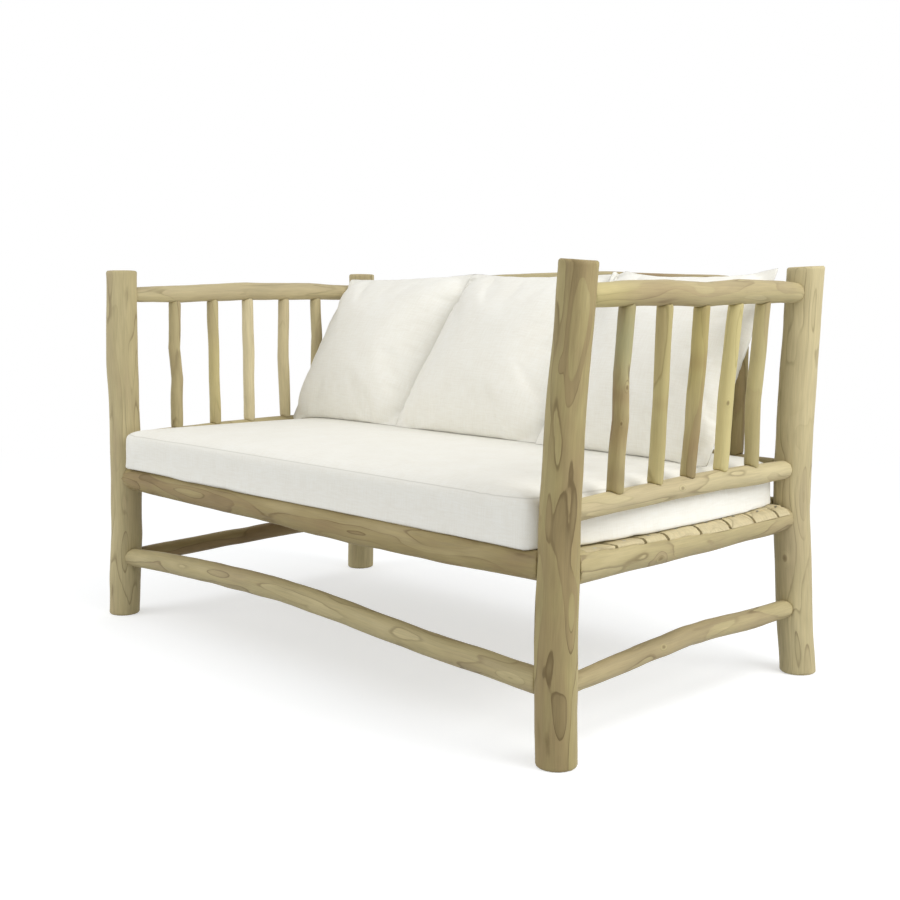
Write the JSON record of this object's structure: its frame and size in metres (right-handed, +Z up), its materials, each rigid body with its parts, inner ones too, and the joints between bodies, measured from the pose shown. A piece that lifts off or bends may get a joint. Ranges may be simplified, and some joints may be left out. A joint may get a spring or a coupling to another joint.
{
  "type": "three-seater sofa",
  "caption": "Garden sofa of peeled teak branches with a slatted deck, spindled arms and back, a boxed seat cushion and loose back pillows.",
  "frame": {"origin": "on the floor, in the middle of the four posts' feet", "axes": "+X along the seat to the sitter's left arm, seen from the front the right one; +Y from the open front to the back; +Z up"},
  "size_m": [1.4921, 0.835, 0.8321],
  "materials": {
    "teak": "sanded, untreated",
    "canvas": "matte cotton canvas",
    "steel": "stainless"
  },
  "bodies": {
    "frame": {"arm_low_rail_left": "teak", "arm_low_rail_right": "teak", "arm_top_rail_left": "teak", "arm_top_rail_right": "teak", "back_low_rail": "teak", "back_top_rail": "teak", "deck_bearer": "teak", "deck_screws": "steel", "deck_slat_1": "teak", "deck_slat_2": "teak", "deck_slat_3": "teak", "deck_slat_4": "teak", "deck_slat_5": "teak", "deck_slat_6": "teak", "deck_slat_7": "teak", "deck_slat_8": "teak", "post_back_left": "teak", "post_back_right": "teak", "post_front_left": "teak", "post_front_right": "teak", "seat_rail_back": "teak", "seat_rail_front": "teak", "seat_rail_left": "teak", "seat_rail_right": "teak", "spindle_back_01": "teak", "spindle_back_02": "teak", "spindle_back_03": "teak", "spindle_back_04": "teak", "spindle_back_05": "teak", "spindle_back_06": "teak", "spindle_back_07": "teak", "spindle_back_08": "teak", "spindle_back_09": "teak", "spindle_back_10": "teak", "spindle_back_11": "teak", "spindle_left_1": "teak", "spindle_left_2": "teak", "spindle_left_3": "teak", "spindle_left_4": "teak", "spindle_left_5": "teak", "spindle_right_1": "teak", "spindle_right_2": "teak", "spindle_right_3": "teak", "spindle_right_4": "teak", "spindle_right_5": "teak", "stretcher_front": "teak", "stretcher_left": "teak", "stretcher_right": "teak"},
    "seat_cushion": {"seat_cushion": "canvas"},
    "back_cushion_left": {"back_cushion_left": "canvas"},
    "back_cushion_middle": {"back_cushion_middle": "canvas"},
    "back_cushion_right": {"back_cushion_right": "canvas"}
  },
  "joints": [
    {"name": "seat_cushion_lift", "type": "slide", "parent": "frame", "child": "seat_cushion", "axis": [0, 0, 1], "range_m": [0, 0.48]},
    {"name": "back_cushion_left_lift", "type": "slide", "parent": "seat_cushion", "child": "back_cushion_left", "axis": [0, 0, 1], "range_m": [0, 0.4]},
    {"name": "back_cushion_middle_lift", "type": "slide", "parent": "seat_cushion", "child": "back_cushion_middle", "axis": [0, 0, 1], "range_m": [0, 0.4]},
    {"name": "back_cushion_right_lift", "type": "slide", "parent": "seat_cushion", "child": "back_cushion_right", "axis": [0, 0, 1], "range_m": [0, 0.4]}
  ]
}
